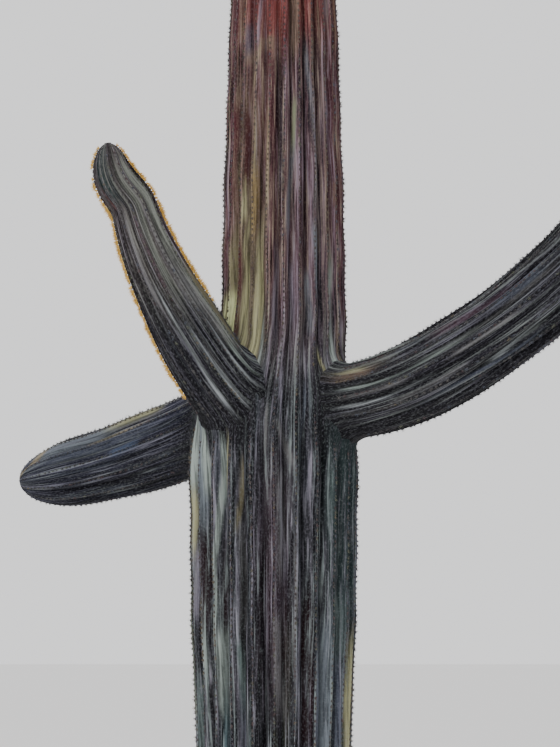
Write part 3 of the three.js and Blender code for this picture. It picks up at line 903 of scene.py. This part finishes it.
def make_skin_finish(name, cool, warm, cork_dark, cork_light):
    """Each palette runs from the darkest lines over the skin's own colour to two pale ones."""
    material, tree, shader = new_material(name)
    place = read(tree, "wrapped", "Vector")
    age, warmth, streak_strength = [read(tree, field) for field in ("age", "warmth", "streak_strength")]
    broad, brushed, hairs, specks = [
        grouped(tree, STREAKS, place, *noise_form) for noise_form in (BROAD, BRUSHED, HAIRS, SPECKS)
    ]
    aside = vector_sum(tree, "ADD", place, ASIDE)
    hue, strokes = [grouped(tree, STREAKS, aside, *noise_form) for noise_form in (HUES, STROKES)]

    deep, body, pale_one, pale_other = [
        blended(tree, warmth, (*below, 1.0), (*above, 1.0)) for below, above in zip(cool, warm)
    ]
    lines = sum_up(tree, "MULTIPLY_ADD", hairs, 0.5, product(tree, brushed, 0.5))
    tone = sum_up(tree, "MULTIPLY_ADD", broad, BROAD_SHARE, product(tree, lines, 1.0 - BROAD_SHARE))
    pale = blended(tree, hue, pale_one, pale_other)
    colour = blended(tree, ranged(tree, tone, *BODY_RANGE), deep, body)
    colour = blended(tree, ranged(tree, tone, *PALE_RANGE), colour, pale)
    stroked = product(tree, strokes, ranged(tree, hairs, *STROKE_RANGE))
    colour = blended(tree, stroked, colour, pale)
    # painted shade: darker near the seams between arms and trunk
    colour = blended(tree, product(tree, read(tree, "seam"), PAINTED_SEAM_SHADE), colour, deep)

    laid = product(tree, streak_strength, ranged(tree, lines, *STREAK_RANGE))
    colour = blended(tree, laid, colour, read(tree, "streak", "Color"))
    # painted shade: the colour darkens down in the grooves, less where a streak is laid
    frayed_groove = sum_up(tree, "MULTIPLY_ADD", lines, -FRAYED, read(tree, "groove"))
    in_groove = ranged(tree, frayed_groove, *GROOVE_RANGE)
    groove_share = sum_up(tree, "MULTIPLY_ADD", streak_strength, -LESS_IN_STREAKS, PAINTED_GROOVE_SHADE)
    colour = blended(tree, product(tree, in_groove, groove_share), colour, deep)
    # the listed dark stretches: partly painted shade below and under the arms, partly dark strokes of the
    # skin's own colour
    shaded = product(tree, read(tree, "shade_strength"), ranged(tree, lines, *SHADE_RANGE))
    colour = blended(tree, shaded, colour, read(tree, "shade", "Color"))
    colour = blended(tree, product(tree, specks, SPECK_STRENGTH), colour, pale)

    grain = grouped(tree, STREAKS, place, *BARK_GRAIN)
    bark = blended(tree, grain, (*cork_dark, 1.0), (*cork_light, 1.0))
    barky = ranged(tree, sum_up(tree, "MULTIPLY_ADD", broad, FRAYED, age), *BARK_RANGE)
    tree.links.new(blended(tree, barky, colour, bark), shader.inputs["Base Color"])
    tree.links.new(ranged(tree, lines, *ROUGHNESS_RANGE), shader.inputs["Roughness"])
    shader.inputs["Specular IOR Level"].default_value = SKIN_SHINE

    height = grouped(tree, RELIEF, place, SKIN_CREASES, SKIN_LINES, age)
    inputs = {"Height": height, "Strength": RELIEF_STRENGTH, "Distance": RELIEF_DISTANCE}
    bump = add(tree, "ShaderNodeBump", inputs)
    tree.links.new(bump.outputs[0], shader.inputs["Normal"])
    return material


def make_plain_finish(name, colour, roughness, sheen=0.0):
    material, _, shader = new_material(name)
    shader.inputs["Base Color"].default_value = (*colour, 1.0)
    shader.inputs["Roughness"].default_value = roughness
    shader.inputs["Sheen Weight"].default_value = sheen
    shader.inputs["Specular IOR Level"].default_value = 0.2
    return material


WARM_PALETTE = (tint(30, 18, 22), tint(92, 63, 68), tint(170, 153, 135), tint(158, 141, 154))
TRUNK_FINISH = make_skin_finish(
    "trunk skin", cool=(tint(17, 17, 21), tint(59, 60, 65), tint(150, 162, 162), tint(155, 151, 165)),
    warm=WARM_PALETTE, cork_dark=tint(46, 42, 42), cork_light=tint(112, 106, 102),
)
ARM_FINISH = make_skin_finish(
    "arm skin", cool=(tint(12, 12, 16), tint(36, 34, 42), tint(150, 157, 155), tint(147, 147, 160)),
    warm=WARM_PALETTE, cork_dark=tint(44, 40, 40), cork_light=tint(98, 92, 88),
)
TRUNK_FELT_FINISH = make_plain_finish("trunk felt", tint(76, 66, 66), 0.95, sheen=0.1)
ARM_FELT_FINISH = make_plain_finish("arm felt", tint(60, 58, 60), 0.95, sheen=0.1)

# Spine colours, dealt out to whole sprays
SPINE_TINTS = {
    "ash": tint(106, 104, 102),
    "sage": tint(110, 114, 96),
    "slate": tint(90, 96, 110),
    # painted rim light: the bright gold of backlit spines, only for the left arm's edges
    "straw": tint(252, 206, 108),
    "ochre": tint(124, 112, 90),
    "plum": tint(96, 74, 76),
    "dark": tint(60, 56, 60),
}
SPINE_FINISHES = {
    kind: make_plain_finish(kind + " spines", colour, 0.6) for kind, colour in SPINE_TINTS.items()
}
COOL_SPINE_ODDS = (0.30, 0.14, 0.26, 0.0, 0.02, 0.08, 0.20)
WARM_SPINE_ODDS = (0.22, 0.12, 0.12, 0.0, 0.14, 0.26, 0.14)


# Pads and spines
PAD_GAP = 0.017
PAD_WIDTH, PAD_LENGTH, PAD_HEIGHT = 0.0028, 0.0044, 0.0016
TRUNK_PADS_BEGIN, ARM_PADS_BEGIN = 0.35, 0.22
DOME_PADS_END = 0.93  # of the dome
PAD_WANDER = 0.25  # of the gap
PADS_LEAVE_SEAM = 0.8  # how close to a seam, as surface() tells it
CLEAR_OF_ARM, CLEAR_OF_TRUNK = 0.98, 0.97  # of the radius of the stem that a pad has to be outside
MOST_PADS = 400  # to a rib, more than fit on the longest
STEP_ALONG = 0.004  # to find which way a rib runs
SPRAY_SIZES = (0.6, 1.2)
SMALLER_AT_TIP = 0.35
SIZE_UP_TRUNK = (0.45, ((0.4, 1.6, 0.55),))
MOSTLY_OUTER = 0.35  # less than 1 leans more spines outwards
OUTER_SHORTER = 0.25
SPINE_LENGTHS, SPINE_HALF_WIDTHS = (0.65, 1.0), (0.4, 0.6)  # of the longest, and of the thickness
# Painted rim light: bright gold spines, more and bigger and set closer together on the ribs that edge the
# left arm, stand in for backlit spines glowing along its outline. Golden spines are real, but their
# brightness and their place on the edge paint the light.
RIM_RIBS = (2, 8)  # the two ribs that edge the left arm
RIM_GAP = 0.36  # of the other ribs' gap
RIM_LIGHT_RIBS = {  # of the left arm: the share of their sprays that is golden, and from where along it
    2: (0.9, 0.5), 3: (0.5, 0.4), 4: (0.2, 0.4), 6: (0.2, 0.4), 7: (0.5, 0.4), 8: (0.9, 0.3),
}
RIM_LIGHT_SPINES = {"Spines to a pad": 34, "Longest": 0.020, "Thickness": 0.0022, "Widest tilt": 1.0}


def pads_of(stem):
    """The pads on the rib crests: place, outward aim, direction along the rib, size, rib and station."""
    found = []
    rng = np.random.default_rng(stem.seed + 7)
    begin = TRUNK_PADS_BEGIN if stem is trunk else ARM_PADS_BEGIN
    for rib in range(stem.ribs):
        gap = PAD_GAP * (RIM_GAP if stem is left_arm and rib in RIM_RIBS else 1.0)
        first = math.ceil((begin - stem.begins) / gap)
        s = stem.begins + (np.arange(first, MOST_PADS) + 0.5 * (rib % 2)) * gap
        s = s[s < stem.length - (1.0 - DOME_PADS_END) * stem.dome]
        s = s + rng.uniform(-PAD_WANDER, PAD_WANDER, len(s)) * gap
        crest = np.array([rib]), np.zeros(1)
        middle, _, spread, near_seam = surface(stem, s, *crest)
        up = (surface(stem, s + STEP_ALONG, *crest)[0] - middle)[:, 0]
        up /= np.linalg.norm(up, axis=1)[:, None]
        aim = spread[:, 0] - (spread[:, 0] * up).sum(axis=1)[:, None] * up
        aim /= np.linalg.norm(aim, axis=1)[:, None]
        here = {"place": middle[:, 0], "aim": aim, "up": up, "size": size_of_sprays(stem, s, rng),
                "rib": np.full(len(s), rib), "s": s}
        grown_rib = pinch_of(stem, s)[:, rib] < 0.5
        clear = (near_seam[:, 0] < PADS_LEAVE_SEAM) & outside_others(stem, middle[:, 0])
        found.append(chosen_pads(here, grown_rib & clear))
    return joined_pads(found)


def joined_pads(parts):
    return {key: np.concatenate([part[key] for part in parts]) for key in parts[0]}


def chosen_pads(pads, mask):
    return {key: values[mask] for key, values in pads.items()}


def outside_others(stem, places):
    """Whether each place is clear of the stems that this one joins."""
    clear = np.ones(len(places), bool)
    if stem is trunk:
        for arm in ARMS:
            apart = np.linalg.norm(places[:, None] - arm.path[None, ::4], axis=2)
            reach = along(arm.radius, arm.path_s[::4]) * CLEAR_OF_ARM
            clear &= (apart > reach).all(axis=1)
        return clear
    from_axis = np.hypot(places[:, 0] - along(trunk.sway, places[:, 2]), places[:, 1])
    return from_axis > along(trunk.radius, places[:, 2]) * CLEAR_OF_TRUNK


def size_of_sprays(stem, s, rng):
    """Sprays are fullest on middling growth, smaller at a tip, and short on old skin."""
    size = 1.0 - SMALLER_AT_TIP * eased(s, stem.length - stem.dome, stem.length)
    if stem is trunk:
        size *= along(SIZE_UP_TRUNK, s)
    return size * rng.uniform(*SPRAY_SIZES, len(s))


def deal_spines(stem, pads, rng):
    """The colour of each spray: mostly that of the streak it stands on, or else by chance."""
    kinds = list(SPINE_TINTS)
    count = len(pads["s"])
    warmth = along(stem.warmth, pads["s"])[:, None]
    odds = (1.0 - warmth) * np.array(COOL_SPINE_ODDS) + warmth * np.array(WARM_SPINE_ODDS)
    by_chance = (rng.random(count)[:, None] > np.cumsum(odds, axis=1)[:, :-1]).sum(axis=1)
    streak, strength = lay(stem, pads["s"], pads["rib"][:, None], streaks_of(stem))
    apart = np.linalg.norm(np.sqrt(streak) - np.sqrt(list(SPINE_TINTS.values())), axis=2)
    apart[:, kinds.index("straw")] = np.inf
    chosen = np.where(rng.random(count) < strength[:, 0], apart.argmin(axis=1), by_chance)
    # painted rim light on the left arm's edges
    rim_lit = rng.random(count) < rim_light_share(stem, pads)
    chosen[rim_lit] = kinds.index("straw")
    return np.array(kinds)[chosen]


def rim_light_share(stem, pads):
    """How likely each spray is to be golden, a painted rim light along the left arm's edges."""
    if stem is not left_arm:
        return 0.0
    return sum(share * (pads["rib"] == rib) * (pads["s"] > begins)
               for rib, (share, begins) in RIM_LIGHT_RIBS.items())


def carrier_of(pads):
    """Loose points that carry each pad's directions and size."""
    mesh = bpy.data.meshes.new("carrier")
    mesh.from_pydata(pads["place"], [], [])
    for key in ("aim", "up", "size"):
        store(mesh, key, pads[key])
    return add_object("carrier", mesh)


def chance(tree, low, high, seed, step):
    inputs = {2: low, 3: high, "Seed": sum_up(tree, "ADD", seed, float(step))}
    return add(tree, "FunctionNodeRandomValue", inputs, data_type="FLOAT").outputs[1]


def points_of(tree, pads):
    """A point for each pad, and the fields that the carrier keeps."""
    points = add(tree, "GeometryNodeMeshToPoints", {"Mesh": pads}).outputs[0]
    return points, *[
        add(tree, "GeometryNodeInputNamedAttribute", {"Name": name}, data_type=kind).outputs["Attribute"]
        for name, kind in (("aim", "FLOAT_VECTOR"), ("up", "FLOAT_VECTOR"), ("size", "FLOAT"))
    ]


def put_copies(tree, points, shape, turned, scale, finish):
    """A copy of the shape on each point, made real and given its finish."""
    inputs = {"Points": points, "Instance": shape, "Rotation": turned, "Scale": scale}
    placed = add(tree, "GeometryNodeInstanceOnPoints", inputs).outputs[0]
    real = add(tree, "GeometryNodeRealizeInstances", {"Geometry": placed}).outputs[0]
    return add(tree, "GeometryNodeSetMaterial", {"Geometry": real, "Material": finish}).outputs[0]


def make_spray_tree():
    """Spines that fan out from each pad, the outer ones shorter and closer to the skin."""
    tree = bpy.data.node_groups.new("spine sprays", "GeometryNodeTree")
    given, made = sockets(
        tree,
        {"Pads": ("Geometry", None), "Spines to a pad": ("Int", 15), "Longest": ("Float", 0.014),
         "Thickness": ("Float", 0.0009), "Widest tilt": ("Float", 1.4), "Across": ("Float", 0.5),
         "Droop": ("Float", 0.12), "Seed": ("Int", 1), "Finish": ("Material", None)},
        {"Spines": "Geometry"},
    )
    points, aim, up, size = points_of(tree, given["Pads"])
    inputs = {"Geometry": points, "Amount": given["Spines to a pad"]}
    copies = add(tree, "GeometryNodeDuplicateElements", inputs, domain="POINT").outputs[0]
    side = vector_sum(tree, "CROSS_PRODUCT", aim, up)
    roll = chance(tree, 0.0, TURN, given["Seed"], 1)
    spread = sum_up(tree, "POWER", chance(tree, 0.0, 1.0, given["Seed"], 2), MOSTLY_OUTER)
    tilt = product(tree, spread, given["Widest tilt"])
    round_about = vector_sum(
        tree, "ADD",
        scaled(tree, up, sum_up(tree, "COSINE", roll)),
        scaled(tree, side, product(tree, sum_up(tree, "SINE", roll), given["Across"])),
    )
    way = vector_sum(
        tree, "ADD",
        scaled(tree, aim, sum_up(tree, "COSINE", tilt)),
        scaled(tree, round_about, sum_up(tree, "SINE", tilt)),
    )
    way = vector_sum(tree, "ADD", way, scaled(tree, up, product(tree, given["Droop"], -1.0)))
    turned = add(tree, "FunctionNodeAlignRotationToVector", {"Vector": way}, axis="Z").outputs[0]
    shorter = sum_up(tree, "MULTIPLY_ADD", spread, -OUTER_SHORTER, 1.0)
    long = product(tree, product(tree, given["Longest"], size),
                   product(tree, shorter, chance(tree, *SPINE_LENGTHS, given["Seed"], 3)))
    half = product(tree, given["Thickness"], chance(tree, *SPINE_HALF_WIDTHS, given["Seed"], 4))
    scale = combined(tree, half, half, long)
    inputs = {"Vertices": 3, "Radius Top": 0.0, "Radius Bottom": 1.0, "Depth": 1.0}
    spine = add(tree, "GeometryNodeMeshCone", inputs).outputs[0]
    tree.links.new(put_copies(tree, copies, spine, turned, scale, given["Finish"]), made["Spines"])
    return tree


def make_pad_tree():
    """One low oval cushion of felt to each pad."""
    tree = bpy.data.node_groups.new("felt pads", "GeometryNodeTree")
    given, made = sockets(
        tree,
        {"Pads": ("Geometry", None), "Width": ("Float", PAD_WIDTH), "Length": ("Float", PAD_LENGTH),
         "Height": ("Float", PAD_HEIGHT), "Finish": ("Material", None)},
        {"Felt": "Geometry"},
    )
    points, aim, up, size = points_of(tree, given["Pads"])
    facing = add(tree, "FunctionNodeAlignRotationToVector", {"Vector": aim}, axis="Z").outputs[0]
    inputs = {"Rotation": facing, "Vector": up}
    turned = add(tree, "FunctionNodeAlignRotationToVector", inputs, axis="Y", pivot_axis="Z").outputs[0]
    extent = scaled(tree, combined(tree, given["Width"], given["Length"], given["Height"]), size)
    cushion = add(tree, "GeometryNodeMeshIcoSphere", {"Radius": 1.0, "Subdivisions": 1}).outputs[0]
    tree.links.new(put_copies(tree, points, cushion, turned, extent, given["Finish"]), made["Felt"])
    return tree


def grown(name, pads, tree, **values):
    """The plain mesh that a Geometry Nodes tree makes on the pads."""
    carrier = carrier_of(pads)
    modifier = carrier.modifiers.new("grow", "NODES")
    modifier.node_group = tree
    for item in tree.interface.items_tree:
        if item.in_out == "INPUT" and item.name in values:
            modifier[item.identifier] = values[item.name]
    carrier.update_tag()
    depsgraph = bpy.context.evaluated_depsgraph_get()
    mesh = bpy.data.meshes.new_from_object(carrier.evaluated_get(depsgraph), depsgraph=depsgraph)
    mesh.name = name
    bpy.data.objects.remove(carrier)
    return add_object(name, mesh)


# Build
def put_on(piece, slot, *nodes):
    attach(piece, "root")
    if nodes:
        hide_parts(*nodes)


for stem in STEMS:
    skin = make_skin(stem)
    skin.data.materials.append(TRUNK_FINISH if stem is trunk else ARM_FINISH)
    put_on(skin, "trunk_skin" if stem is trunk else "arm_skin", *stem.nodes)

dealer = np.random.default_rng(101)
all_pads = []
for stem in STEMS:
    pads = pads_of(stem)
    pads["kind"] = deal_spines(stem, pads, dealer)
    all_pads.append(pads)
every_pad = joined_pads(all_pads)
pad_tree = make_pad_tree()
put_on(grown("trunk_pads", all_pads[0], pad_tree, Finish=TRUNK_FELT_FINISH), "spine_pads")
put_on(grown("arm_pads", joined_pads(all_pads[1:]), pad_tree, Finish=ARM_FELT_FINISH), "spine_pads")

spray_tree = make_spray_tree()
for number, (kind, finish) in enumerate(SPINE_FINISHES.items()):
    chosen = chosen_pads(every_pad, every_pad["kind"] == kind)
    # the painted rim light's spines are more, longer and thicker
    rim_lit = RIM_LIGHT_SPINES if kind == "straw" else {}
    sprays = grown(kind + "_spines", chosen, spray_tree, Seed=100 * number, Finish=finish, **rim_lit)
    put_on(sprays, "spines")


# Floor and light
FLOOR_REACH = 400.0
FLOOR_COLOUR = (0.86, 0.85, 0.84, 1.0)
SKY_COLOUR = (0.90, 0.90, 0.91, 1.0)
SKY_STRENGTH = 1.35
LIT_PLACE = (0.1, 0.0, 2.6)


def make_floor():
    mesh = bpy.data.meshes.new("floor")
    corners = [(x * FLOOR_REACH, y * FLOOR_REACH, 0.0) for x, y in ((-1, -1), (1, -1), (1, 1), (-1, 1))]
    mesh.from_pydata(corners, [], [(0, 1, 2, 3)])
    floor = add_object("floor", mesh)
    material, _, shader = new_material("pale floor")
    shader.inputs["Base Color"].default_value = FLOOR_COLOUR
    shader.inputs["Roughness"].default_value = 0.9
    mesh.materials.append(material)


def make_light(name, place, size, power, colour):
    data = bpy.data.lights.new(name, "AREA")
    data.size = size
    data.energy = power
    data.color = colour
    light = add_object(name, data)
    light.location = place
    light.rotation_euler = (Vector(LIT_PLACE) - Vector(place)).to_track_quat("-Z", "Y").to_euler()


def make_world():
    world = bpy.data.worlds.new("studio")
    bpy.context.scene.world = world
    world.use_nodes = True
    background = world.node_tree.nodes["Background"]
    background.inputs["Color"].default_value = SKY_COLOUR
    background.inputs["Strength"].default_value = SKY_STRENGTH


make_floor()
make_world()
make_light("key", (-4.0, -8.0, 6.0), 6.0, 1000.0, (1.0, 0.985, 0.97))
make_light("fill", (7.0, -5.0, 4.0), 5.0, 200.0, (0.95, 0.97, 1.0))
make_light("back", (-2.5, 7.0, 7.0), 4.0, 700.0, (1.0, 0.96, 0.90))
